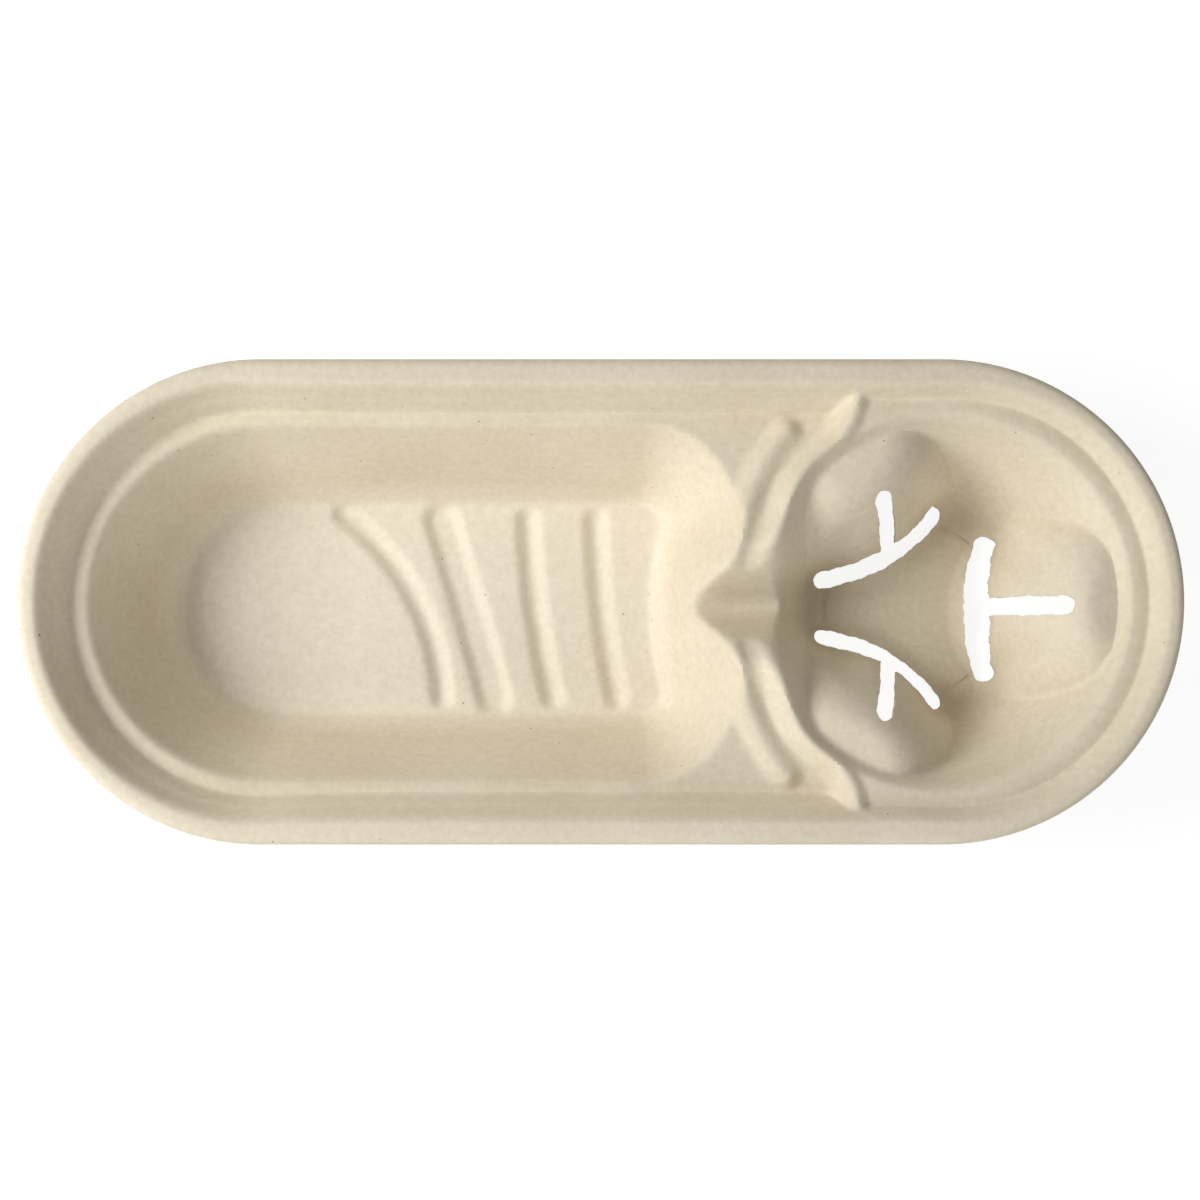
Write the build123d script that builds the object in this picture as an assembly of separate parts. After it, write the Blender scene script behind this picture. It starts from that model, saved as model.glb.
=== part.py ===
from build123d import *
import os
from math import atan2, cos, degrees, radians, sin, sqrt, tan

os.makedirs("parts", exist_ok=True)

# A food tray with a cup pocket, pressed from wet plant fibre as one thin skin between a punch and a die.
# Z = 0 is the table, +X runs from the food compartment to the cup pocket, and the middle of the length
# and of the width is at X = Y = 0. All sizes are in millimetres, angles in degrees.

# Whole tray
length = 305.0
width = 127.0
height = 46.0
wall = 1.0

# Rim: a flat crown, turned down at the outside and sloping down at the inside
crown_width = 7.2
crown_outer_round = 2.6
crown_inner_round = 2.2
lip_drop = 3.2
rim_draft = 18.0

# Food compartment: a ledge round a drafted well
food_ledge_depth = 10.0
food_ledge_width = 5.5
food_wall_draft = 27.4
food_corner_round = 7.0
food_floor_round = 3.0
food_edge_round = 2.4

# Grooves across the food floor. Each has its distance from the cup axis at the far end, in the middle
# and at the near end, and the width of its floor.
groove_depth = 2.0
groove_draft = 48.0
groove_end_gap = 2.8
groove_1 = (158.0, 141.6, 134.6, 3.2)
groove_2 = (135.2, 127.3, 120.1, 7.0)
groove_3 = (110.3, 108.2, 103.3, 3.4)
groove_4 = (90.9, 89.1, 84.9, 3.4)

# Cup pocket, a cone with three springy panels bulging into it
cup_axis_offset = 1.0
cup_ledge_depth = 4.5
cup_ledge_width = 6.0
cup_wall_draft = 24.5
cup_edge_round = 4.0

panel_count = 3
panel_axis_radius = 44.0
panel_foot_radius = 31.4
panel_slope = 77.0
panel_top_depth = 7.0
panel_brow_round = 12.0
panel_foot_round = 4.0

# T-shaped slot in each panel
slot_bar_radius = 16.7
slot_bar_width = 4.6
slot_bar_length = 41.0
slot_bar_bend = 50.0
slot_stem_width = 4.8
slot_stem_end = 35.5

# Divider between the two hollows: a ridge round the pocket, a lower one beside it and a trough across both
ridge_offset = 2.2
ridge_half_width = 2.4
ridge_rise = 1.2
ridge_round = 1.8
ridge_depth = 9.0
ridge_turn = 51.0
ridge_tail = 15.0
ridge_tail_angle = 57.0
divider_inside = 1.2
divider_corner_round = 3.0
short_ridge_gap = 2.6
short_ridge_half_width = 2.4
short_ridge_rise = 2.7
short_ridge_round = 1.8
short_ridge_turn = 44.0
short_ridge_draft = 12.0
short_ridge_depth = 22.0
food_slope_gap = 2.5
trough_height = 21.0
trough_floor_width = 5.7
trough_draft = 26.0
trough_floor_round = 3.0

# How far the tools run past the tray, into one another and past a softened edge, and how far off a
# level its edges may be
clearance = 3.0
overlap = 2.0
ease_overrun = 0.5
level_reach = 0.01


def run_out(rise, draft):
    """How far a drafted wall moves sideways over a rise."""
    return rise * tan(radians(draft))


def rim_inset(level):
    """Distance from the outer edge to the rim's inner face at a level."""
    return crown_width + run_out(height - level, rim_draft)


# Levels of the upper face, and of the tools' ends
crown_level = height
food_ledge_level = height - food_ledge_depth
cup_ledge_level = height - cup_ledge_depth
panel_top_level = height - panel_top_depth
food_floor_level = wall + groove_depth
cup_floor_level = wall
ridge_level = cup_ledge_level + ridge_rise
below = -clearance
above = height + clearance

# Food floor, inside the rim, the ledge and the drafted wall
food_wall_run = run_out(food_ledge_level - food_floor_level, food_wall_draft)
food_floor_inset = rim_inset(food_ledge_level) + food_ledge_width + food_wall_run
food_floor_half_width = 0.5 * width - food_floor_inset
food_floor_left_end = food_floor_inset - 0.5 * length

# Cup pocket, inside the rim's right end, and the rings of the divider round it
cup_axis = 0.5 * (length - width) + cup_axis_offset
cup_mouth_radius = 0.5 * width - rim_inset(cup_ledge_level) - cup_ledge_width
cup_floor_radius = cup_mouth_radius - run_out(cup_ledge_level - cup_floor_level, cup_wall_draft)
ridge_radius = cup_mouth_radius + ridge_offset
ridge_foot_radius = ridge_radius + ridge_half_width + run_out(ridge_level - food_ledge_level, rim_draft)
short_ridge_radius = ridge_foot_radius + short_ridge_gap + short_ridge_half_width
food_divider_radius = ridge_foot_radius + food_slope_gap + food_wall_run


def spread(drop, draft):
    """How far a drafted wall stands out at its foot when the whole face is moved down and out by drop."""
    return drop * tan(radians(45.0 - draft / 2.0))


def flat_for(rounding, draft):
    """Length cut off each side of an edge, between a level face and a drafted wall, by the flat that
    touches a round of that radius in its middle."""
    half = radians(45.0 + draft / 2.0)
    return rounding * (1.0 / sin(half) - 1.0) / cos(half)


def grown(outline, amount):
    """An outline moved outwards by an amount, which may be zero."""
    return offset(outline, amount=amount, kind=Kind.ARC) if amount else outline


def rise_from(outline, level, draft):
    """A tool that opens upwards from an outline at a level, with drafted sides."""
    return Pos(0, 0, level) * extrude(outline, above - level, taper=-draft)


def stadium(inset):
    """The tray's outline, moved inwards by inset."""
    return SlotOverall(length - 2.0 * inset, width - 2.0 * inset)


def divider_side(shift):
    """Everything on the cup side of the divider's flank, which is moved towards the food by shift."""
    turn = radians(180.0 - ridge_turn)
    radius = ridge_foot_radius - divider_inside
    near_x = cup_axis + radius * cos(turn) - shift
    near_y = radius * sin(turn)
    far_y = width
    far_x = near_x + (far_y - near_y) / tan(radians(ridge_tail_angle))
    wedge = Polygon(
        (near_x, -near_y),
        (far_x, -far_y),
        (length, -far_y),
        (length, far_y),
        (far_x, far_y),
        (near_x, near_y),
        align=None,
    )
    return Pos(cup_axis, 0) * Circle(radius + shift) + wedge


def food_recess(drop):
    """The shallow recess whose floor is the ledge round the food compartment."""
    outline = stadium(rim_inset(food_ledge_level)) - divider_side(0.0)
    corners = outline.vertices().filter_by(lambda v: v.X > 0.0)
    outline = fillet(corners, divider_corner_round)
    outline = grown(outline, spread(drop, rim_draft))
    return rise_from(outline, food_ledge_level - drop, rim_draft)


def cup_recess(drop):
    """The shallow recess round the cup pocket, which also brings the divider down below the crown."""
    outline = stadium(rim_inset(cup_ledge_level)) & divider_side(2.0 * divider_corner_round)
    outline = grown(outline, spread(drop, rim_draft))
    return rise_from(outline, cup_ledge_level - drop, rim_draft)


def food_outline(growth):
    """The food floor's outline: round at the left, hollowed by the divider at the right."""
    half = food_floor_half_width + growth
    corner = food_corner_round + growth
    divider = food_divider_radius - growth
    left_x = food_floor_left_end + food_floor_half_width
    corner_y = half - corner
    corner_x = cup_axis - sqrt((divider + corner) ** 2 - corner_y**2)
    share = divider / (divider + corner)
    meet_x = cup_axis + (corner_x - cup_axis) * share
    meet_y = corner_y * share
    middle = 0.5 * (radians(90.0) + atan2(meet_y - corner_y, meet_x - corner_x))
    bulge_x = corner_x + corner * cos(middle)
    bulge_y = corner_y + corner * sin(middle)
    edges = [
        ThreePointArc((left_x, half), (left_x - half, 0.0), (left_x, -half)),
        Line((left_x, -half), (corner_x, -half)),
        ThreePointArc((corner_x, -half), (bulge_x, -bulge_y), (meet_x, -meet_y)),
        ThreePointArc((meet_x, -meet_y), (cup_axis - divider, 0.0), (meet_x, meet_y)),
        ThreePointArc((meet_x, meet_y), (bulge_x, bulge_y), (corner_x, half)),
        Line((corner_x, half), (left_x, half)),
    ]
    return make_face(edges)


def food_well(drop):
    """The food compartment below its ledge."""
    outline = food_outline(spread(drop, food_wall_draft))
    tool = rise_from(outline, food_floor_level - drop, food_wall_draft)
    if drop:
        return tool
    return chamfer(tool.edges().group_by(Axis.Z)[0], flat_for(food_floor_round, food_wall_draft))


def grooves(drop):
    """The grooves across the food floor, each a bent slot whose sides spread upwards."""
    lean = run_out(groove_depth, groove_draft)
    tools = []
    for far, middle, near, floor_width in (groove_1, groove_2, groove_3, groove_4):
        reach = food_floor_half_width - groove_end_gap - 0.5 * floor_width - lean
        ends = ((cup_axis - far, reach), (cup_axis - middle, 0.0), (cup_axis - near, -reach))
        outline = SlotArc(ThreePointArc(*ends), floor_width + 2.0 * spread(drop, groove_draft))
        tool = extrude(outline, 2.0 * groove_depth, taper=-groove_draft)
        tools.append(Pos(0, 0, cup_floor_level - drop) * tool)
    return tools


def cup_well(drop):
    """The plain cone of the cup pocket."""
    outline = Pos(cup_axis, 0) * Circle(cup_floor_radius + spread(drop, cup_wall_draft))
    return rise_from(outline, cup_floor_level - drop, cup_wall_draft)


def round_the_cup(piece):
    """Copies of a piece made at the origin, one for each panel, set round the cup axis."""
    return [Pos(cup_axis, 0, 0) * Rot(0, 0, 360.0 / panel_count * i) * piece for i in range(panel_count)]


def panels(drop):
    """The three panels, each a squat dome with a flared foot, kept to the inside of the pocket."""
    slope = radians(panel_slope)
    floor = cup_floor_level - drop
    top = panel_top_level - drop
    foot = panel_foot_radius - drop * tan(slope / 2.0)
    shoulder = foot - (top - floor) / tan(slope)
    section = Polygon(
        (0.0, below),
        (2.0 * panel_foot_radius, below),
        (2.0 * panel_foot_radius, floor),
        (foot, floor),
        (shoulder, top),
        (0.0, top),
        align=None,
    )
    for turn, corners in ((panel_slope, 1), (0.5 * panel_slope, 2)):
        brow = section.vertices().sort_by_distance((shoulder, top))[:corners]
        section = chamfer(brow, flat_for(panel_brow_round - drop, 90.0 - turn))
    if not drop:
        knee = section.vertices().sort_by_distance((foot, floor))[0]
        section = chamfer(knee, flat_for(panel_foot_round, 90.0 - panel_slope))
    dome = Pos(panel_axis_radius, 0, 0) * revolve(Plane.XZ * section, Axis.Z)
    return round_the_cup(dome)


def stand_on(outline, level, depth, draft, rounding):
    """A boss whose flat top is an outline at a level, with sides that spread downwards and a top edge
    that is cut flat for a round."""
    boss = mirror(extrude(outline, depth, taper=-draft), about=Plane.XY)
    boss = chamfer(boss.edges().group_by(Axis.Z)[-1], flat_for(rounding, draft)) if rounding else boss
    return Pos(0, 0, level) * boss


def ring_part(radius, half_width, turn):
    """A stretch of a ring round the cup axis, facing the food compartment, with round ends."""
    arc = CenterArc((cup_axis, 0), radius, 180.0 - turn, 2.0 * turn)
    return SlotArc(arc, 2.0 * half_width)


def ridge(drop):
    """The ridge between the two hollows: round the pocket, then turning outwards to meet the rim."""
    half_width = ridge_half_width - spread(drop, rim_draft)
    outline = ring_part(ridge_radius, half_width, ridge_turn)
    start = radians(180.0 - ridge_turn)
    for side in (-1.0, 1.0):
        near = Pos(cup_axis + ridge_radius * cos(start), side * ridge_radius * sin(start))
        tail = Rectangle(ridge_tail, 2.0 * half_width, align=(Align.MIN, Align.CENTER))
        outline += near * Rot(0, 0, side * ridge_tail_angle) * tail
    return stand_on(outline, ridge_level - drop, ridge_depth, rim_draft, 0.0 if drop else ridge_round)


def short_ridge(drop):
    """The low ridge along the top of the divider's slope, whose flank runs down into the slope."""
    half_width = short_ridge_half_width - spread(drop, short_ridge_draft)
    outline = ring_part(short_ridge_radius, half_width, short_ridge_turn)
    level = food_ledge_level + short_ridge_rise - drop
    return stand_on(outline, level, short_ridge_depth, short_ridge_draft, 0.0 if drop else short_ridge_round)


def trough(drop):
    """The channel through the divider, open at the top, a tool that runs from one hollow to the other."""
    low = trough_height - drop
    half = 0.5 * trough_floor_width + spread(drop, trough_draft)
    lean = run_out(above - low, trough_draft)
    section = Polygon(
        (-half, low),
        (half, low),
        (half + lean, above),
        (-half - lean, above),
        align=None,
    )
    section = fillet(section.vertices().group_by(Axis.Y)[0], trough_floor_round + drop)
    run = food_divider_radius - cup_floor_radius
    return Pos(cup_axis - food_divider_radius, 0, 0) * extrude(Plane.YZ * section, run)


def edges_near(form, level):
    """The edges of a form that lie in a level."""
    return form.edges().filter_by_position(Axis.Z, level - level_reach, level + level_reach)


def ease(outline_grown_by, level, draft, rounding, flats):
    """Tools that soften the upper edge of a drafted recess with flats that touch a round. The recess's
    outline at that level is given for a growth."""
    tools = []
    turn = 90.0 - draft
    centre_out = rounding * tan(radians(0.5 * turn))
    for step in range(flats):
        slant = draft + turn * (step + 1) / (flats + 1)
        touch_out = centre_out - rounding * cos(radians(slant))
        touch_level = level - rounding * (1.0 - sin(radians(slant)))
        low = touch_level - rounding
        outline = outline_grown_by(touch_out - run_out(rounding, slant))
        tools.append(Pos(0, 0, low) * extrude(outline, level + ease_overrun - low, taper=-slant))
    return tools


def crown_ease():
    """The soft edge between the crown and the rim's inner face."""
    return ease(lambda growth: stadium(crown_width - growth), crown_level, rim_draft, crown_inner_round, 1)


def food_ease():
    """The soft edge between the ledge and the food compartment's wall."""
    mouth = food_wall_run
    return ease(
        lambda growth: food_outline(mouth + growth), food_ledge_level, food_wall_draft, food_edge_round, 1
    )


def cup_ease(drop):
    """The soft edge between the ledge and the cup pocket's wall, with one flat less in the face below."""
    axis = Pos(cup_axis, 0)
    radius = cup_mouth_radius + spread(drop, cup_wall_draft)
    level = cup_ledge_level - drop
    rounding = cup_edge_round - drop
    flats = 1 if drop else 2
    return ease(lambda growth: axis * Circle(radius + growth), level, cup_wall_draft, rounding, flats)


def block(drop):
    """The tray's outer form, with its upper edge turned down in flats that touch a round."""
    rounding = crown_outer_round - drop
    form = Pos(0, 0, below) * extrude(stadium(drop), height - drop - below)
    form = chamfer(form.edges().group_by(Axis.Z)[-1], flat_for(rounding, 0.0))
    if drop:
        return form
    edges = edges_near(form, crown_level) + edges_near(form, crown_level - flat_for(rounding, 0.0))
    return chamfer(edges, flat_for(rounding, 45.0))


def hollows(drop):
    """The tray's block with its recesses, wells and grooves sunk into it and their upper edges softened."""
    form = block(drop)
    tools = [cup_recess(drop), food_recess(drop), food_well(drop), cup_well(drop), *grooves(drop)]
    tools += cup_ease(drop)
    if not drop:
        tools += [*crown_ease(), *food_ease()]
    for tool in tools:
        form -= tool
    return form


def press_form(drop):
    """All that lies below the skin's upper face, with that face moved down and out by drop."""
    form = hollows(drop)
    form += ridge(drop)
    form += short_ridge(drop)
    form -= trough(drop)
    pocket = cup_well(drop + overlap)
    for panel in panels(drop):
        form += panel & pocket
    return form


def slot_cutters():
    """The T-shaped cutters, one for each panel: a bent bar across the panel and a stem up its middle."""
    turn = degrees((slot_bar_length - slot_bar_width) / slot_bar_bend)
    middle = CenterArc((slot_bar_radius + slot_bar_bend, 0), slot_bar_bend, 180.0 - 0.5 * turn, turn)
    bar = SlotArc(middle, slot_bar_width)
    stem_end = slot_stem_end - 0.5 * slot_stem_width
    stem_line = Line((slot_bar_radius, 0), (stem_end, 0))
    stem = SlotCenterToCenter(stem_line.length, slot_stem_width)
    outline = bar + Pos(0.5 * (slot_bar_radius + stem_end), 0) * stem
    cutter = Pos(0, 0, below) * extrude(outline, above - below)
    return round_the_cup(cutter)


def skirt():
    """What the press trims off below the turned-down lip."""
    band = extrude(stadium(-overlap) - stadium(0.5 * crown_width), height - lip_drop - below)
    return Pos(0, 0, below) * band


def make_tray():
    """The skin between the upper face and the same face moved down by the wall, trimmed and slotted."""
    skin = press_form(0.0) - press_form(wall)
    skin -= skirt()
    for cutter in slot_cutters():
        skin -= cutter
    return skin.solids().sort_by(SortBy.VOLUME)[-1]


export_step(make_tray(), "parts/tray.step")
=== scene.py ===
import bmesh
import bpy
import numpy as np
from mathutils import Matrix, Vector


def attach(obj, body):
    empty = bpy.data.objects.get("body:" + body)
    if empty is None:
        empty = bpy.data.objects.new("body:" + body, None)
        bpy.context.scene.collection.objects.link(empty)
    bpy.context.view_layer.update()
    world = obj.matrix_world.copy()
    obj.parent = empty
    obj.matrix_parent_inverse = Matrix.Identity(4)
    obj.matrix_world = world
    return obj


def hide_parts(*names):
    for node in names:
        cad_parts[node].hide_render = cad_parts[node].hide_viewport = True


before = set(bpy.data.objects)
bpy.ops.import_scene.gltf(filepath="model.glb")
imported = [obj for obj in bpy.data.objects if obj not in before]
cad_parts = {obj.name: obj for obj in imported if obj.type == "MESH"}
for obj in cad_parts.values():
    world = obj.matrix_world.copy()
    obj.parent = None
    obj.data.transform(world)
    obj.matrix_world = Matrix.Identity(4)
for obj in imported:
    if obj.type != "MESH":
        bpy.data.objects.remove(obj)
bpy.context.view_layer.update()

# The rim: a flat crown round the outline, a wall that slopes in from it and a crease along the wall's foot.
# It is the top of one skin of wet plant fibre, pressed between a punch and a die and dried. Every form of
# the skin is a height over the plan, in millimetres, and where two forms cross, the crossing is rounded.

length, width, height = 305.0, 127.0, 46.0
end_radius = 0.5 * width
end_centre = 0.5 * (length - width)
crown_width, crown_blend, rim_slope = 7.2, 2.4, 1.85
crease_depth, crease_reach = 0.6, 7.0
# the crown gets narrower towards each end: which end, where that starts, over what length, by how much
narrowings = ((-1.0, 60.0, 70.0, 1.7), (1.0, 80.0, 50.0, 2.2))


def lower_of(a, b, blend):
    """The lower of two heights. Where they are within blend of each other, the lower one drops by the
    square of how far inside that band they are, divided by four times the band, so the crossing is round."""
    near = np.maximum(blend - np.abs(a - b), 0.0)
    return np.minimum(a, b) - near * near / (4.0 * blend)


def higher_of(a, b, blend):
    """The higher of two heights, with the same round crossing turned upside down."""
    return -lower_of(-a, -b, blend)


def eased(share):
    """A share cut to the range from 0 to 1 and run through the curve three s squared less two s cubed."""
    share = np.clip(share, 0.0, 1.0)
    return share * share * (3.0 - 2.0 * share)


def inset_of(x, y):
    """Distance inside the tray's outline, which is a rectangle with two half-circle ends."""
    beyond = np.maximum(np.abs(x) - end_centre, 0.0)
    return end_radius - np.hypot(beyond, y)


def rim_wall_at(x, y):
    """Height of the rim's wall: a straight slope down from the crown's inner edge."""
    narrower = sum(amount * eased((end * x - start) / over) for end, start, over, amount in narrowings)
    return height - (inset_of(x, y) + narrower - crown_width) * rim_slope


def crease(rim_wall, ledge):
    """Depth of the crease along the foot of the rim's wall, which eases out on both sides of the height
    where the wall meets the ledge."""
    return crease_depth * eased(1.0 - np.abs(rim_wall - ledge) / crease_reach)


# The divider: a step down from the ledge round the cup to the lower ledge round the food. A long ridge, which
# follows a ring round the cup's axis and turns its tails outwards, and a short one are pressed up on it. The
# hollow between them fills up towards the trough.

cup_axis = 90.0
food_ledge, cup_ledge = 36.0, 41.5
food_ledge_blend, cup_ledge_blend, between_ledges_blend = 1.2, 1.0, 1.5
fill_angle, fill_spread, fill_height = 35.0, 21.0, 2.6
fill_start, fill_length = -5.0, 15.0
short_ridge = ((49.4, 45.4), (38.9, 28.3), (34.4, 8.0))
short_half, short_rise, short_lower = 5.4, 2.7, 0.6
apron_edge, apron_width, apron_rise = 60.0, 5.0, 0.9
ring_radius, ring_turn = 49.9, 53.0
ridge_tail = ((60.0, 39.9), (64.6, 45.2), (67.6, 56.0))
tail_wider, tail_start, tail_length, tail_blend = 0.5, 40.0, 8.0, 1.0
ridge_top, ridge_flat, ridge_top_blend, ridge_foot_blend = 43.0, 0.9, 3.0, 2.0
ridge_slope, ridge_softer = 1.75, 0.8
step_slope, step_forward, step_blend = 3.0, 0.9, 3.0
# the step between the ledges runs along the ring, then along the ridge's tail
step_sides = np.array([0.0, 10.0, 20.0, 30.0, 36.0, 40.0])
step_tail_sides, step_tail = (43.0, 46.0, 49.0, 53.0, 64.0), (62.9, 65.0, 66.4, 67.4, 68.5)
# beside the trough the ridge and the pocket's wall bulge towards the cup: how much, and start and length of
# the bulge's rise and fall across the tray and of its end along it
bulge = 3.9
bulge_rise, bulge_fall, bulge_end = (3.0, 10.0), (38.0, 20.0), (62.0, 6.0)


def along_arc(x, y, points):
    """Distance from a bent line through three points, which is an arc of a circle with round ends."""
    (ax, ay), (bx, by), (cx, cy) = points
    d = 2.0 * (ax * (by - cy) + bx * (cy - ay) + cx * (ay - by))
    ux = ((ax**2 + ay**2) * (by - cy) + (bx**2 + by**2) * (cy - ay) + (cx**2 + cy**2) * (ay - by)) / d
    uy = ((ax**2 + ay**2) * (cx - bx) + (bx**2 + by**2) * (ax - cx) + (cx**2 + cy**2) * (bx - ax)) / d
    radius = np.hypot(ax - ux, ay - uy)
    middle = np.arctan2(by - uy, bx - ux)
    start = (np.arctan2(ay - uy, ax - ux) - middle + np.pi) % (2 * np.pi) - np.pi
    end = (np.arctan2(cy - uy, cx - ux) - middle + np.pi) % (2 * np.pi) - np.pi
    turn = (np.arctan2(y - uy, x - ux) - middle + np.pi) % (2 * np.pi) - np.pi
    on_arc = np.abs(np.hypot(x - ux, y - uy) - radius)
    at_ends = np.minimum(np.hypot(x - ax, y - ay), np.hypot(x - cx, y - cy))
    return np.where((turn > min(start, end)) & (turn < max(start, end)), on_arc, at_ends)


def from_ring(x, y, radius, turn):
    """Distance from a stretch of a ring round the cup axis that faces the food compartment."""
    across = np.abs(np.hypot(x - cup_axis, y) - radius)
    end_x = cup_axis - radius * np.cos(turn)
    end_y = radius * np.sin(turn)
    at_end = np.hypot(x - end_x, np.abs(y) - end_y)
    angle = np.arctan2(np.abs(y), cup_axis - x)
    return np.where(angle < turn, across, at_end)


def filled_up(x, y):
    """Share by which the hollow between the ridges is filled: it eases out with the angle round the cup
    axis, and towards the food compartment."""
    angle = np.degrees(np.arctan2(np.abs(y), cup_axis - x))
    return eased((fill_angle - angle) / fill_spread) * eased((x - fill_start) / fill_length)


def food_ledge_at(x, y, from_axis, filled):
    """Height of the lower ledge: its level, the filling, the short ridge as one wave of a cosine across its
    path, and an apron that rises to the long ridge."""
    beside = along_arc(x, np.abs(y), short_ridge)
    wave = 0.5 * (1.0 + np.cos(np.pi * np.minimum(beside / short_half, 1.0)))
    bump = short_rise * (1.0 - short_lower * filled) * wave
    apron = apron_rise * eased((apron_edge - from_axis) / apron_width)
    return food_ledge + fill_height * filled + bump + apron


def step_at(x, y):
    """Height of the step between the ledges, a steep slope up from a line that is given across the tray."""
    on_ring = cup_axis - np.sqrt(ring_radius**2 - step_sides**2)
    line = np.interp(np.abs(y), np.append(step_sides, step_tail_sides), np.append(on_ring, step_tail))
    return food_ledge + (x - line + step_forward) * step_slope


def bulge_at(x, y):
    """How much the divider bulges towards the cup: it eases in and out across the tray, and ends along it."""
    side = np.abs(y)
    rise = eased((side - bulge_rise[0]) / bulge_rise[1])
    fall = eased((bulge_fall[0] - side) / bulge_fall[1])
    return bulge * rise * fall * eased((bulge_end[0] - x) / bulge_end[1])


def long_ridge_at(x, y, further_in, filled):
    """Height of the long ridge: it falls with the distance from a strip along its path, under a round top,
    and more gently where the hollow beside it is filled."""
    side = np.abs(y)
    ring = from_ring(x - further_in, y, ring_radius, np.radians(ring_turn))
    tail = along_arc(x, side, ridge_tail) - tail_wider * eased((side - tail_start) / tail_length)
    beside = lower_of(ring, tail, tail_blend) - ridge_flat
    flank = ridge_top - beside * (ridge_slope - ridge_softer * filled)
    return lower_of(flank, ridge_top + 0.0 * x, ridge_top_blend)


# The food compartment: a deep well whose floor is half round at the left and hollowed at the right by a
# circle round the cup's axis. Four slanted grooves are pressed down from it, and the tray stands on them.

wall, groove_depth = 1.0, 2.0
food_floor = wall + groove_depth
food_inset, food_draft, food_corner = 33.1, 27.4, 7.0
divider_radius, divider_end = 75.2, 60.0
food_foot_blend, food_edge_blend = 2.6, 2.4
groove_slope, groove_blend = 0.65, 0.6
# each groove's back end, middle and front end, and the width of its bottom
grooves = (
    ((-73.0, 27.0), (-51.2, 0.0), (-45.0, -25.4), 1.6),
    ((-45.2, 25.6), (-37.3, 0.0), (-30.1, -25.6), 5.2),
    ((-20.3, 25.6), (-18.2, 0.0), (-13.3, -25.6), 1.8),
    ((-0.9, 25.6), (0.9, 0.0), (5.1, -25.6), 1.8),
)


def outside_food_floor(x, y):
    """Signed distance outside the food floor: the stadium's outline, moved in, cut by a large circle round
    the cup axis, with a round corner that touches both."""
    stadium = food_inset - inset_of(np.minimum(x, 0.0), y)
    divider = divider_radius - np.where(x < divider_end, np.hypot(x - cup_axis, y), 0.0)
    corner_y = end_radius - food_inset - food_corner
    corner_x = cup_axis - np.sqrt((divider_radius + food_corner) ** 2 - corner_y**2)
    right, up = x - corner_x, np.abs(y) - corner_y
    to_axis = np.arctan2(corner_y, cup_axis - corner_x)
    in_corner = (right > 0.0) & (np.arctan2(up, right) > -to_axis)
    return np.where(in_corner, np.hypot(right, up) - food_corner, np.maximum(stadium, divider))


def food_well_at(x, y):
    """Height of the food floor, cut by the grooves, and of the wall that slopes up round it."""
    bottom = food_floor - groove_depth
    floor = food_floor + 0.0 * x
    for back, middle, front, bottom_width in grooves:
        beside = along_arc(x, y, (back, middle, front)) - 0.5 * bottom_width
        groove = higher_of(bottom + beside * groove_slope, bottom, groove_blend)
        floor = lower_of(floor, groove, groove_blend)
    food_wall = food_floor + outside_food_floor(x, y) / np.tan(np.radians(food_draft))
    return higher_of(food_wall, floor, food_foot_blend)


# The cup pocket: a round tapered well whose floor is what the panels leave of a circle, a star with its tips
# a little raised. The trough runs from it through the divider to the food compartment.

cup_floor = wall
cup_foot_radius, cup_draft, cup_foot_blend = 30.4, 24.5, 1.6
star_radius, star_rise, star_edge = 25.2, 0.7, 0.6
cup_edge_blend, cup_edge_softer, softer_from, softer_over = 3.4, 3.0, 66.0, 10.0
trough_low, trough_climb, trough_level = 21.0, 0.08, 48.0
trough_slope, trough_sunk, trough_blend = 1.85, 3.4, 5.0
trough_left, trough_right, trough_stop = 10.0, 62.0, 10.0
# the trough's edge gets rounder away from the middle line and towards the cup: start and length of both
trough_edge_blend, trough_edge_softer = 3.2, 9.0
softer_across, softer_along = (5.0, 8.0), (31.0, 8.0)


def cup_well_at(from_axis, further_in):
    """Height of the pocket's cone and of its floor, which is one small step higher inside the star's tips."""
    cone = cup_floor + (from_axis + further_in - cup_foot_radius) / np.tan(np.radians(cup_draft))
    star = cup_floor + star_rise * eased((star_radius - from_axis) / star_edge)
    return higher_of(cone, star, cup_foot_blend)


def trough_at(x, y):
    """Height of the trough: a floor that climbs a little to the left, two sloping sides, and a steep stop
    at each end."""
    floor = trough_low + trough_climb * np.maximum(trough_level - x, 0.0)
    form = higher_of(floor - trough_sunk + trough_slope * np.abs(y), floor, trough_blend)
    beyond = trough_stop * np.maximum(trough_left - x, 0.0) + trough_stop * np.maximum(x - trough_right, 0.0)
    return form + beyond


def trough_edge(x, y):
    """Size of the rounding along the trough's edge."""
    across = eased((np.abs(y) - softer_across[0]) / softer_across[1])
    return trough_edge_blend + trough_edge_softer * across * eased((x - softer_along[0]) / softer_along[1])


# The three panels: parts of the pocket's wall that bulge inwards, from a foot on the floor to a low domed
# top, and give way as a cup is pushed in. They are pressed with the rest of the skin.

panel_count, panel_turn = 3, 120.0
panel_centre, panel_blend = 46.0, 1.8
# how much the distance across a panel counts, at its top and more at its foot, and where that changes
across_share, across_more, across_from, across_over = 0.75, 0.35, 35.0, 9.0
# each face's height at one distance from the panel's centre, that distance, and the face's slope
foot_strip, steep_face, gentle_face = (1.0, 36.3, 0.65), (5.0, 31.2, 2.73), (17.0, 26.8, 1.73)
strip_blend, face_blend, cap_blend = 2.0, 3.0, 13.0
cap_level, cap_fall, cap_edge = 40.3, 0.015, 36.0
panel_reach, panel_stop, no_panel = 49.5, 6.0, -50.0


def on_slope(out, face):
    """Height on a straight face at a distance from the panel's centre."""
    level, there, slope = face
    return level + (there - out) * slope


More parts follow.
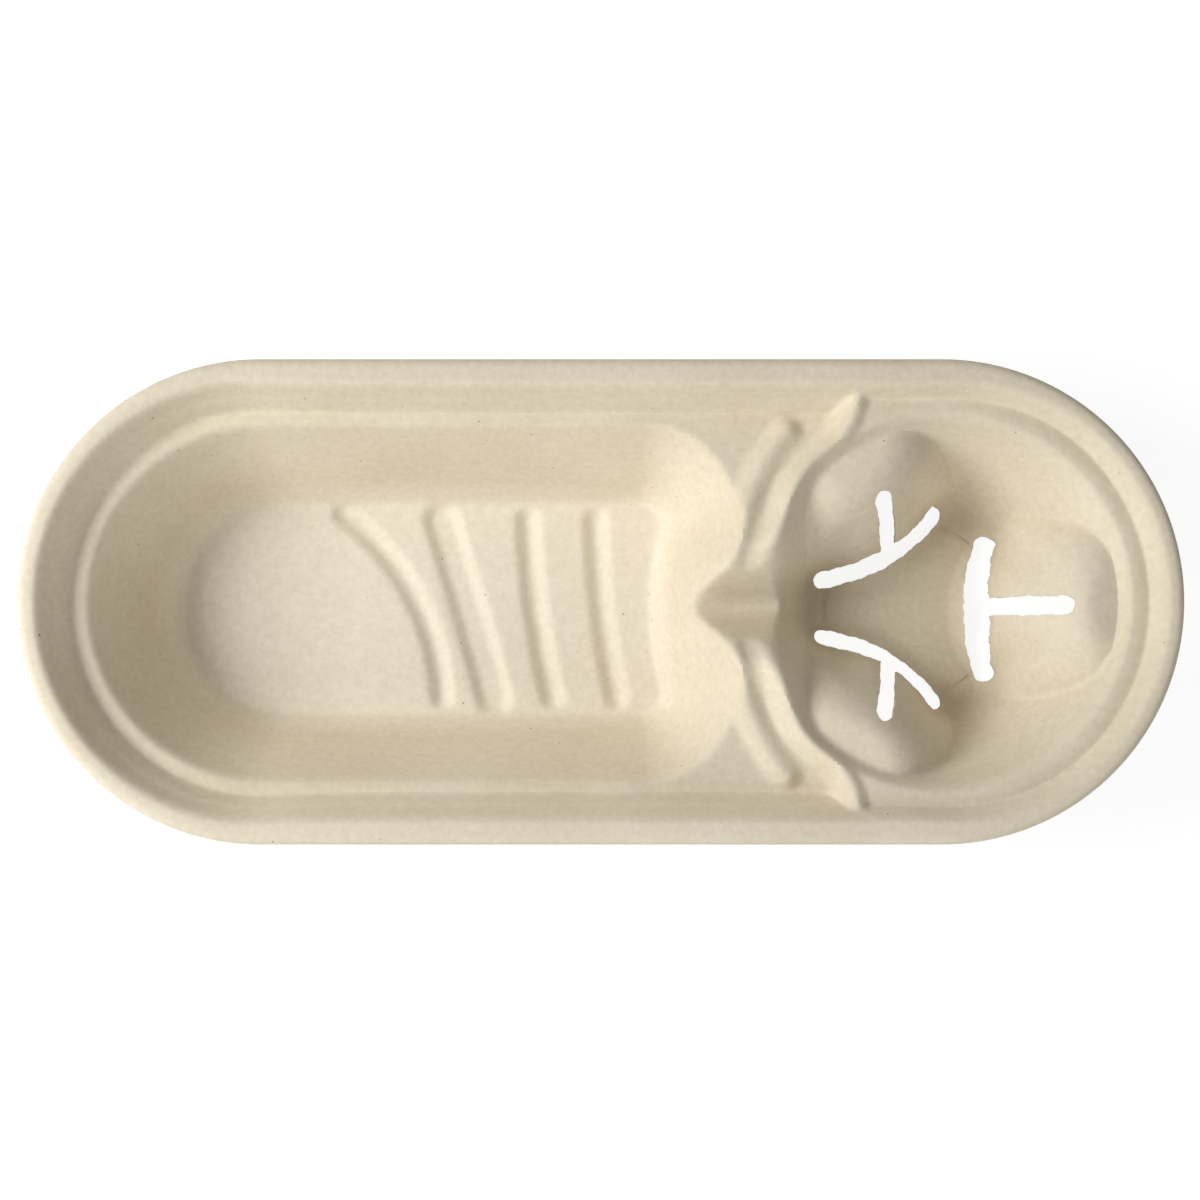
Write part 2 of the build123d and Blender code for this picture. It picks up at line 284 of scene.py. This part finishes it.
def panel_height(along, across, from_axis):
    """Height of one panel: three faces over each other by the distance from a centre behind the panel,
    under a low cap that falls with the square of the distance, and with a steep stop at the ledge."""
    counts = across_share + across_more * eased((across_from - from_axis) / across_over)
    out = np.hypot(panel_centre - along, counts * across)
    face = higher_of(on_slope(out, foot_strip), on_slope(out, steep_face), strip_blend)
    face = lower_of(face, on_slope(out, gentle_face), face_blend)
    cap = cap_level - cap_fall * np.maximum(from_axis - cap_edge, 0.0) ** 2
    return lower_of(face, cap, cap_blend) - panel_stop * np.maximum(from_axis - panel_reach, 0.0)


def with_panels(face, x, y, from_axis):
    """A height raised to each panel in turn, seen along the panel's own direction from the cup axis."""
    for panel in range(panel_count):
        turn = np.radians(panel_turn * panel)
        along = (x - cup_axis) * np.cos(turn) + y * np.sin(turn)
        across = y * np.cos(turn) - (x - cup_axis) * np.sin(turn)
        raised = np.where(along > 0.0, panel_height(along, across, from_axis), no_panel)
        face = higher_of(face, raised, panel_blend)
    return face


# The skin: all those forms as one closed sheet. Its upper face is a grid that runs round the outline and in
# to the middle line, its lower face lies one wall under it, and the rim's lip is turned down and cut off.

crown_round, lip_low, lip_clearance, lip_steps = 2.6, 42.8, 0.03, 7
straight_columns, end_columns = 204, 192
# the rows' spacing at a few distances inside the outline, closer over the edges
spaced_at = [2.6, 5.4, 5.9, 9.2, 12.0, 13.5, 17.5, 19.0, 30.0, 31.5, 35.0, 37.0, end_radius]
spacing = [0.7, 0.7, 0.34, 0.36, 0.45, 0.6, 0.55, 0.82, 0.82, 0.65, 0.65, 0.82, 0.82]
sampling, probe = 4000, 0.05
millimetre, merge_within, sharp_angle = 0.001, 1e-6, 38.0


def upper_face(x, y):
    """Height of the skin's upper face over the plan: the crown with its two recesses, the long ridge on the
    step between them, then the wells and the trough cut in and the panels raised."""
    from_axis = np.hypot(x - cup_axis, y)
    rim_wall = rim_wall_at(x, y)
    filled = filled_up(x, y)
    further_in = bulge_at(x, y)
    ledge = food_ledge_at(x, y, from_axis, filled) - crease(rim_wall, food_ledge)
    food_recess = higher_of(higher_of(rim_wall, step_at(x, y), step_blend), ledge, food_ledge_blend)
    cup_recess = higher_of(rim_wall, cup_ledge - crease(rim_wall, cup_ledge), cup_ledge_blend)
    face = lower_of(food_recess, cup_recess, between_ledges_blend)
    face = lower_of(face, height + 0.0 * x, crown_blend)
    face = higher_of(face, long_ridge_at(x, y, further_in, filled), ridge_foot_blend)
    face = lower_of(face, food_well_at(x, y), food_edge_blend)
    cup_edge = cup_edge_blend + cup_edge_softer * eased((softer_from - x) / softer_over)
    face = lower_of(face, cup_well_at(from_axis, further_in), cup_edge)
    face = lower_of(face, trough_at(x, y), trough_edge(x, y))
    return with_panels(face, x, y, from_axis)


def row_insets():
    """Distances of the rows inside the outline: even steps along the sum of one over the spacing."""
    fine = np.linspace(crown_round, end_radius, sampling)
    count = np.concatenate([[0.0], np.cumsum(np.diff(fine) / np.interp(fine[1:], spaced_at, spacing))])
    steps = int(round(count[-1] / 2.0)) * 2
    return np.interp(np.linspace(0.0, count[-1], steps + 1), count, fine)


def columns(straight_steps, end_steps):
    """The outline walked once: the back side, the right end, the front side and the left end. Gives the
    point on the middle line that each column runs to and the outward direction there."""
    along = np.linspace(-end_centre, end_centre, straight_steps + 1)[:-1]
    turn = np.linspace(0.5 * np.pi, -0.5 * np.pi, end_steps + 1)[:-1]
    ones = np.ones(straight_steps)
    right = np.full(end_steps, end_centre)
    base_x = np.concatenate([along, right, -along, -right])
    out_x = np.concatenate([0.0 * ones, np.cos(turn), 0.0 * ones, -np.cos(turn)])
    out_y = np.concatenate([ones, np.sin(turn), -ones, -np.sin(turn)])
    return base_x, out_x, out_y


def slope_at(x, y):
    """Gradient of the upper face by central differences over a tenth of a millimetre."""
    along = (upper_face(x + probe, y) - upper_face(x - probe, y)) / (2.0 * probe)
    across = (upper_face(x, y + probe) - upper_face(x, y - probe)) / (2.0 * probe)
    return along, across


def skin_faces(insets, straight_steps, end_steps):
    """Both faces of the skin on one grid of rows and columns. The lip's rows follow a quarter circle down
    to its lower edge. The lower face is the upper one moved by the wall against its normal."""
    base_x, out_x, out_y = columns(straight_steps, end_steps)
    reach = end_radius - insets[:, None]
    x = base_x + reach * out_x
    y = reach * out_y
    z = upper_face(x, y)
    along, across = slope_at(x, y)
    size = np.sqrt(1.0 + along**2 + across**2)
    normal = np.stack([-along / size, -across / size, 1.0 / size], -1)
    turns = np.radians(np.linspace(0.0, 90.0, lip_steps))[:-1]
    lip_inset = np.concatenate([[0.0], crown_round * (1.0 - np.cos(turns))])
    lip_z = np.concatenate([[lip_low], height - crown_round + crown_round * np.sin(turns)])
    lip_out = np.concatenate([[1.0], np.cos(turns)])
    lip_up = np.concatenate([[0.0], np.sin(turns)])
    lip_reach = end_radius - lip_clearance - lip_inset[:, None]
    lip_x, lip_y = base_x + lip_reach * out_x, lip_reach * out_y
    lip_z = lip_z[:, None] + 0.0 * lip_x
    level = lip_up[:, None] + 0.0 * lip_x
    lip_normal = np.stack([lip_out[:, None] * out_x, lip_out[:, None] * out_y, level], -1)
    upper = np.concatenate([np.stack([lip_x, lip_y, lip_z], -1), np.stack([x, y, z], -1)])
    lower = upper - wall * np.concatenate([lip_normal, normal])
    return upper, lower


def grid_faces(rows, cols, first, turned):
    """Quads of a grid that closes round its columns, turned over for the lower face."""
    here = first + np.arange(rows * cols).reshape(rows, cols)
    right = np.roll(here, -1, axis=1)
    quads = np.stack([here[:-1], here[1:], right[1:], right[:-1]], -1).reshape(-1, 4)
    return quads[:, ::-1] if turned else quads


def mesh_object(name, points, faces):
    """A mesh object from points in millimetres and faces, with equal points merged."""
    mesh = bpy.data.meshes.new(name)
    mesh.from_pydata((points * millimetre).tolist(), [], faces)
    form = bmesh.new()
    form.from_mesh(mesh)
    bmesh.ops.remove_doubles(form, verts=form.verts, dist=merge_within)
    form.to_mesh(mesh)
    form.free()
    piece = bpy.data.objects.new(name, mesh)
    bpy.context.scene.collection.objects.link(piece)
    return piece


def make_skin():
    """The closed skin: a fine upper face, a lower face of half as many rows and columns, and the cut edge
    of the lip between them."""
    insets = row_insets()
    upper, _ = skin_faces(insets, straight_columns, end_columns)
    _, lower = skin_faces(insets[::2], straight_columns // 2, end_columns // 2)
    rows, cols = upper.shape[:2]
    low_rows, low_cols = lower.shape[:2]
    count = rows * cols
    faces = grid_faces(rows, cols, 0, False).tolist() + grid_faces(low_rows, low_cols, count, True).tolist()
    step = np.arange(low_cols)
    a, b, c = 2 * step, 2 * step + 1, (2 * step + 2) % cols
    edge = np.stack([a, b, c, count + (step + 1) % low_cols, count + step], -1)
    faces += edge.tolist()
    points = np.concatenate([upper.reshape(-1, 3), lower.reshape(-1, 3)])
    return mesh_object("tray_skin", points, faces)


skin = make_skin()


# The slots: a bent bar and a stem in each panel, punched right through once the skin was dry. Their edges
# tore a little as the punch left them, and two of the stems lean.

bar_half, stem_half = 2.4, 2.5
bar_length, bar_bend, bar_middle = 42.6, 50.0, 16.7
stem_ends = np.array([[33.4, -0.4], [31.0, -1.3], [32.0, 1.9]])
bar_steps, stem_steps, cap_steps = 110, 50, 12
cut_from, cut_to = -5.0, 60.0
torn_by, torn_shift = 0.27, 1.7
# the torn edge's waves: how fast each one turns along the edge, in radians a millimetre, and its share
torn_waves = ((0.31, 0.45), (0.83, 0.4), (1.9, 0.3), (4.1, 0.2))


def torn(walk, seed):
    """Small wander of a torn edge: four waves of different lengths added up along it."""
    waves = (share * np.sin(rate * walk + seed * (torn_shift + rate)) for rate, share in torn_waves)
    return torn_by * sum(waves)


def slot_outline(centre, half_width, seed):
    """Outline of a slot along a line of points: the line moved to each side by the half width, with half
    circles at its ends, and torn."""
    step = np.gradient(centre, axis=0)
    step /= np.hypot(step[:, 0], step[:, 1])[:, None]
    side = np.stack([-step[:, 1], step[:, 0]], -1)
    turn = np.linspace(0.5 * np.pi, -0.5 * np.pi, cap_steps)[1:-1, None]
    cap_end = centre[-1] + half_width * (np.cos(turn) * step[-1] + np.sin(turn) * side[-1])
    cap_start = centre[0] - half_width * (np.cos(turn) * step[0] + np.sin(turn) * side[0])
    there, back = centre + half_width * side, (centre - half_width * side)[::-1]
    outline = np.concatenate([there, cap_end, back, cap_start])
    walk = np.cumsum(np.hypot(*np.diff(outline, axis=0, prepend=outline[-1:]).T))
    tangent = np.roll(outline, -1, axis=0) - np.roll(outline, 1, axis=0)
    tangent /= np.hypot(tangent[:, 0], tangent[:, 1])[:, None]
    outward = np.stack([tangent[:, 1], -tangent[:, 0]], -1)
    return outline + outward * torn(walk, seed)[:, None]


def slot_cutter(name, lines, half_width):
    """One upright prism for each panel, over the slot's outline, as a single mesh."""
    points, faces = [], []
    for panel in range(panel_count):
        turn = np.radians(panel_turn * panel)
        outline = slot_outline(lines[panel], half_width, 1.0 + panel)
        x = cup_axis + outline[:, 0] * np.cos(turn) - outline[:, 1] * np.sin(turn)
        y = outline[:, 0] * np.sin(turn) + outline[:, 1] * np.cos(turn)
        first = sum(len(p) for p in points)
        n = len(x)
        points.append(np.concatenate([np.stack([x, y, 0.0 * x + level], -1) for level in (cut_from, cut_to)]))
        ring = np.arange(n)
        after = (ring + 1) % n
        faces += (first + np.stack([ring, ring + n, after + n, after], -1)).tolist()
        faces += [(first + ring).tolist(), (first + n + ring[::-1]).tolist()]
    return mesh_object(name, np.concatenate(points), faces)


spread = np.linspace(-0.5, 0.5, bar_steps) * (bar_length - 2.0 * bar_half) / bar_bend
bar_line = np.stack([bar_middle + bar_bend * (1.0 - np.cos(spread)), bar_bend * np.sin(spread)], -1)
stem_lines = np.linspace([bar_middle, 0.0], stem_ends, stem_steps).transpose(1, 0, 2)
bars = slot_cutter("bars", [bar_line] * panel_count, bar_half)
stems = slot_cutter("stems", stem_lines, stem_half)
for cutter in (bars, stems):
    cut = skin.modifiers.new(cutter.name, "BOOLEAN")
    cut.operation = "DIFFERENCE"
    cut.solver = "EXACT"
    cut.object = cutter
bpy.context.view_layer.update()
finished = bpy.data.meshes.new_from_object(skin.evaluated_get(bpy.context.evaluated_depsgraph_get()))
skin.modifiers.clear()
skin.data = finished
for cutter in (bars, stems):
    bpy.data.objects.remove(cutter)
# a point that only two edges meet is left over from the cuts, and goes
edge_ends = np.empty(2 * len(finished.edges), dtype=np.int32)
finished.edges.foreach_get("vertices", edge_ends)
spare = np.flatnonzero(np.bincount(edge_ends) == 2)
form = bmesh.new()
form.from_mesh(finished)
form.verts.ensure_lookup_table()
bmesh.ops.dissolve_verts(form, verts=[form.verts[at] for at in spare])
bmesh.ops.dissolve_degenerate(form, edges=form.edges, dist=merge_within)
form.to_mesh(finished)
form.free()
finished.shade_smooth()
finished.set_sharp_from_angle(angle=np.radians(sharp_angle))


# The finish: matte pressed pulp of unbleached plant fibre. It is cloudy and mottled, with a felt of fine
# fibres in relief and a few dark specks of husk. Painted light makes it paler round the food floor, and
# painted shade makes it darker in the pocket.

pulp = bpy.data.materials.new("pressed_pulp")
pulp.use_nodes = True
nodes, links = pulp.node_tree.nodes, pulp.node_tree.links
shader = nodes["Principled BSDF"]
shader.inputs["Roughness"].default_value = 0.92
shader.inputs["Specular IOR Level"].default_value = 0.25
place = nodes.new("ShaderNodeTexCoord").outputs["Object"]
cloud_tones = ((0.3, (0.80, 0.715, 0.555)), (0.72, (0.85, 0.77, 0.615)))
mottle_tones = ((0.32, (0.9, 0.89, 0.87)), (0.66, (1.0, 1.0, 1.0)))
grain_tones = ((0.3, (0.93, 0.925, 0.91)), (0.7, (1.0, 1.0, 1.0)))
husk_tones = ((0.35, (0.3, 0.22, 0.13)), (0.65, (0.5, 0.4, 0.27)))
# painted light and painted shade: a paler tone laid over the food floor and a darker one in the pocket
food_floor_painted_light, pocket_painted_shade = (0.90, 0.825, 0.685), (0.74, 0.65, 0.50)
mottle_share, grain_share, mask_edge = 0.8, 0.7, 0.45


def noise(scale, detail, rough):
    """Noise over the object's own coordinates, in waves to the metre."""
    node = nodes.new("ShaderNodeTexNoise")
    links.new(place, node.inputs["Vector"])
    for socket, value in (("Scale", scale), ("Detail", detail), ("Roughness", rough)):
        node.inputs[socket].default_value = value
    return node.outputs["Fac"]


def ramp(fac, stops):
    """A colour ramp from pairs of a place and a colour."""
    node = nodes.new("ShaderNodeValToRGB")
    links.new(fac, node.inputs["Fac"])
    band = node.color_ramp
    for element, (at, colour) in zip(band.elements, stops):
        element.position = at
        element.color = (*colour, 1.0)
    return node.outputs["Color"]


def blended(kind, share, below, above):
    """Two colours mixed in one way by a share. The share is a number or a mask, and the upper colour is
    three numbers or another node's colour."""
    node = nodes.new("ShaderNodeMix")
    node.data_type = "RGBA"
    node.blend_type = kind
    if isinstance(share, float):
        node.inputs["Factor"].default_value = share
    else:
        links.new(share, node.inputs["Factor"])
    links.new(below, node.inputs["A"])
    if isinstance(above, tuple):
        node.inputs["B"].default_value = (*above, 1.0)
    else:
        links.new(above, node.inputs["B"])
    return node.outputs["Result"]


def specks(scale, size, share):
    """A mask of small round specks, one in each cell of a lattice, of which a share is kept."""
    cells = nodes.new("ShaderNodeTexVoronoi")
    links.new(place, cells.inputs["Vector"])
    cells.inputs["Scale"].default_value = scale
    near = nodes.new("ShaderNodeMapRange")
    links.new(cells.outputs["Distance"], near.inputs["Value"])
    near.inputs["From Min"].default_value = 0.5 * size
    near.inputs["From Max"].default_value = size
    near.inputs["To Min"].default_value = 1.0
    near.inputs["To Max"].default_value = 0.0
    kept = nodes.new("ShaderNodeMath")
    kept.operation = "LESS_THAN"
    one = nodes.new("ShaderNodeSeparateColor")
    links.new(cells.outputs["Color"], one.inputs["Color"])
    links.new(one.outputs["Red"], kept.inputs[0])
    kept.inputs[1].default_value = share
    both = nodes.new("ShaderNodeMath")
    both.operation = "MULTIPLY"
    links.new(near.outputs["Result"], both.inputs[0])
    links.new(kept.outputs[0], both.inputs[1])
    return both.outputs[0]


def near_place(centre, reach):
    """A soft mask round a place: one less the distance from it, measured in three reaches, in metres."""
    moved = nodes.new("ShaderNodeMapping")
    links.new(place, moved.inputs["Vector"])
    moved.inputs["Scale"].default_value = [1.0 / r for r in reach]
    moved.inputs["Location"].default_value = [-c / r for c, r in zip(centre, reach)]
    ball = nodes.new("ShaderNodeTexGradient")
    ball.gradient_type = "SPHERICAL"
    links.new(moved.outputs["Vector"], ball.inputs["Vector"])
    soft = nodes.new("ShaderNodeMapRange")
    soft.interpolation_type = "SMOOTHSTEP"
    soft.inputs["From Max"].default_value = mask_edge
    links.new(ball.outputs["Fac"], soft.inputs["Value"])
    return soft.outputs["Result"]


# painted light: a soft mask that makes the food floor paler
painted_light_over_food_floor = near_place(centre=(-0.055, 0.0, 0.002), reach=(0.13, 0.06, 0.016))
# painted shade: a soft mask that makes the pocket darker
painted_shade_in_pocket = near_place(centre=(0.09, 0.0, 0.0), reach=(0.05, 0.05, 0.025))
clouds_and_painted_light = ramp(noise(scale=38.0, detail=3.0, rough=0.55), cloud_tones)
# the cloudy tone, with painted light over the food floor and painted shade in the pocket mixed into it
clouds_and_painted_light = blended("MIX", painted_light_over_food_floor, clouds_and_painted_light, food_floor_painted_light)
clouds_and_painted_light = blended("MIX", painted_shade_in_pocket, clouds_and_painted_light, pocket_painted_shade)
mottle = ramp(noise(scale=520.0, detail=3.0, rough=0.6), mottle_tones)
grain = ramp(noise(scale=2600.0, detail=2.0, rough=0.6), grain_tones)
mottled = blended("MULTIPLY", mottle_share, clouds_and_painted_light, mottle)
colour = blended("MULTIPLY", grain_share, mottled, grain)
husk = ramp(noise(scale=900.0, detail=1.0, rough=0.5), husk_tones)
colour = blended("MIX", specks(scale=150.0, size=0.05, share=0.4), colour, husk)
colour = blended("MIX", specks(scale=330.0, size=0.06, share=0.16), colour, husk)
links.new(colour, shader.inputs["Base Color"])
felt = nodes.new("ShaderNodeMath")
felt.operation = "ADD"
links.new(noise(scale=1300.0, detail=3.0, rough=0.6), felt.inputs[0])
links.new(noise(scale=330.0, detail=2.0, rough=0.5), felt.inputs[1])
relief = nodes.new("ShaderNodeBump")
relief.inputs["Strength"].default_value = 0.55
relief.inputs["Distance"].default_value = 0.00012
links.new(felt.outputs[0], relief.inputs["Height"])
links.new(relief.outputs["Normal"], shader.inputs["Normal"])
skin.data.materials.clear()
skin.data.materials.append(pulp)
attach(skin, "root")
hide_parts("tray")


# The table: a wide, plain, pale sheet that the tray stands on. To the camera it is white, with the tray's
# soft shadow left on it, and to all other light it is a pale matte surface.

table_half, table_level = 8000.0, -0.2
pale_grey, shadow_grey = (0.8, 0.8, 0.8, 1.0), (0.25, 0.25, 0.25, 1.0)
table_glow = 0.86
corners = np.array([(-1.0, -1.0), (1.0, -1.0), (1.0, 1.0), (-1.0, 1.0)]) * table_half
table = mesh_object("table", np.column_stack([corners, np.full(len(corners), table_level)]), [[0, 1, 2, 3]])
pale = bpy.data.materials.new("pale_table")
pale.use_nodes = True
tree = pale.node_tree
tree.nodes.clear()


def looked_at(tree):
    """One for what the camera sees, directly, in a reflection or through glass, and nothing for the rest."""
    path = tree.nodes.new("ShaderNodeLightPath")
    seen = path.outputs["Is Camera Ray"]
    for ray in ("Is Glossy Ray", "Is Transmission Ray"):
        either = tree.nodes.new("ShaderNodeMath")
        either.operation = "MAXIMUM"
        tree.links.new(seen, either.inputs[0])
        tree.links.new(path.outputs[ray], either.inputs[1])
        seen = either.outputs[0]
    return seen


matte = tree.nodes.new("ShaderNodeBsdfDiffuse")
matte.inputs["Color"].default_value = pale_grey
shadowed = tree.nodes.new("ShaderNodeBsdfDiffuse")
shadowed.inputs["Color"].default_value = shadow_grey
glow = tree.nodes.new("ShaderNodeEmission")
glow.inputs["Strength"].default_value = table_glow
white = tree.nodes.new("ShaderNodeAddShader")
tree.links.new(shadowed.outputs[0], white.inputs[0])
tree.links.new(glow.outputs[0], white.inputs[1])
either_way = tree.nodes.new("ShaderNodeMixShader")
tree.links.new(looked_at(tree), either_way.inputs[0])
tree.links.new(matte.outputs[0], either_way.inputs[1])
tree.links.new(white.outputs[0], either_way.inputs[2])
surface = tree.nodes.new("ShaderNodeOutputMaterial")
tree.links.new(either_way.outputs[0], surface.inputs["Surface"])
table.data.materials.append(pale)


# The studio: a room of even, low white light that looks white itself, a square softbox high on the left,
# and a broader, weaker one in front.

room_level = 0.28
world = bpy.data.worlds.new("studio")
bpy.context.scene.world = world
world.use_nodes = True
room = world.node_tree
backdrop = room.nodes["Background"]
backdrop.inputs["Color"].default_value = (1.0, 1.0, 1.0, 1.0)
level = room.nodes.new("ShaderNodeMapRange")
level.inputs["To Min"].default_value = room_level
room.links.new(looked_at(room), level.inputs["Value"])
room.links.new(level.outputs["Result"], backdrop.inputs["Strength"])


def softbox(name, place, size, power):
    """A square lamp that faces the tray."""
    lamp = bpy.data.lights.new(name, "AREA")
    lamp.size = size
    lamp.energy = power
    holder = bpy.data.objects.new(name, lamp)
    bpy.context.scene.collection.objects.link(holder)
    holder.location = place
    holder.rotation_euler = (-Vector(place)).to_track_quat("-Z", "Y").to_euler()


softbox("left_softbox", place=(-0.71, 0.05, 0.59), size=0.42, power=6.5)
softbox("front_softbox", place=(-0.05, -0.90, 0.50), size=0.7, power=3.2)


# The camera: it looks straight down from a little in front of the tray's middle, and its lens is shifted so
# that the tray fills the picture's width. The lens follows from the width that is seen at the rim.

camera_x, camera_y, camera_height = -0.00546, -0.0204, 0.46
view_x, view_y, view_width = -0.00026, 0.00039, 0.312
sensor = 36.0
camera = bpy.data.cameras.new("camera")
stand = bpy.data.objects.new("camera", camera)
bpy.context.scene.collection.objects.link(stand)
stand.location = (camera_x, camera_y, camera_height)
camera.sensor_width = sensor
camera.lens = sensor * (camera_height - millimetre * height) / view_width
camera.shift_x = (view_x - camera_x) / view_width
camera.shift_y = (view_y - camera_y) / view_width
bpy.context.scene.camera = stand
bpy.context.scene.view_settings.view_transform = "Standard"
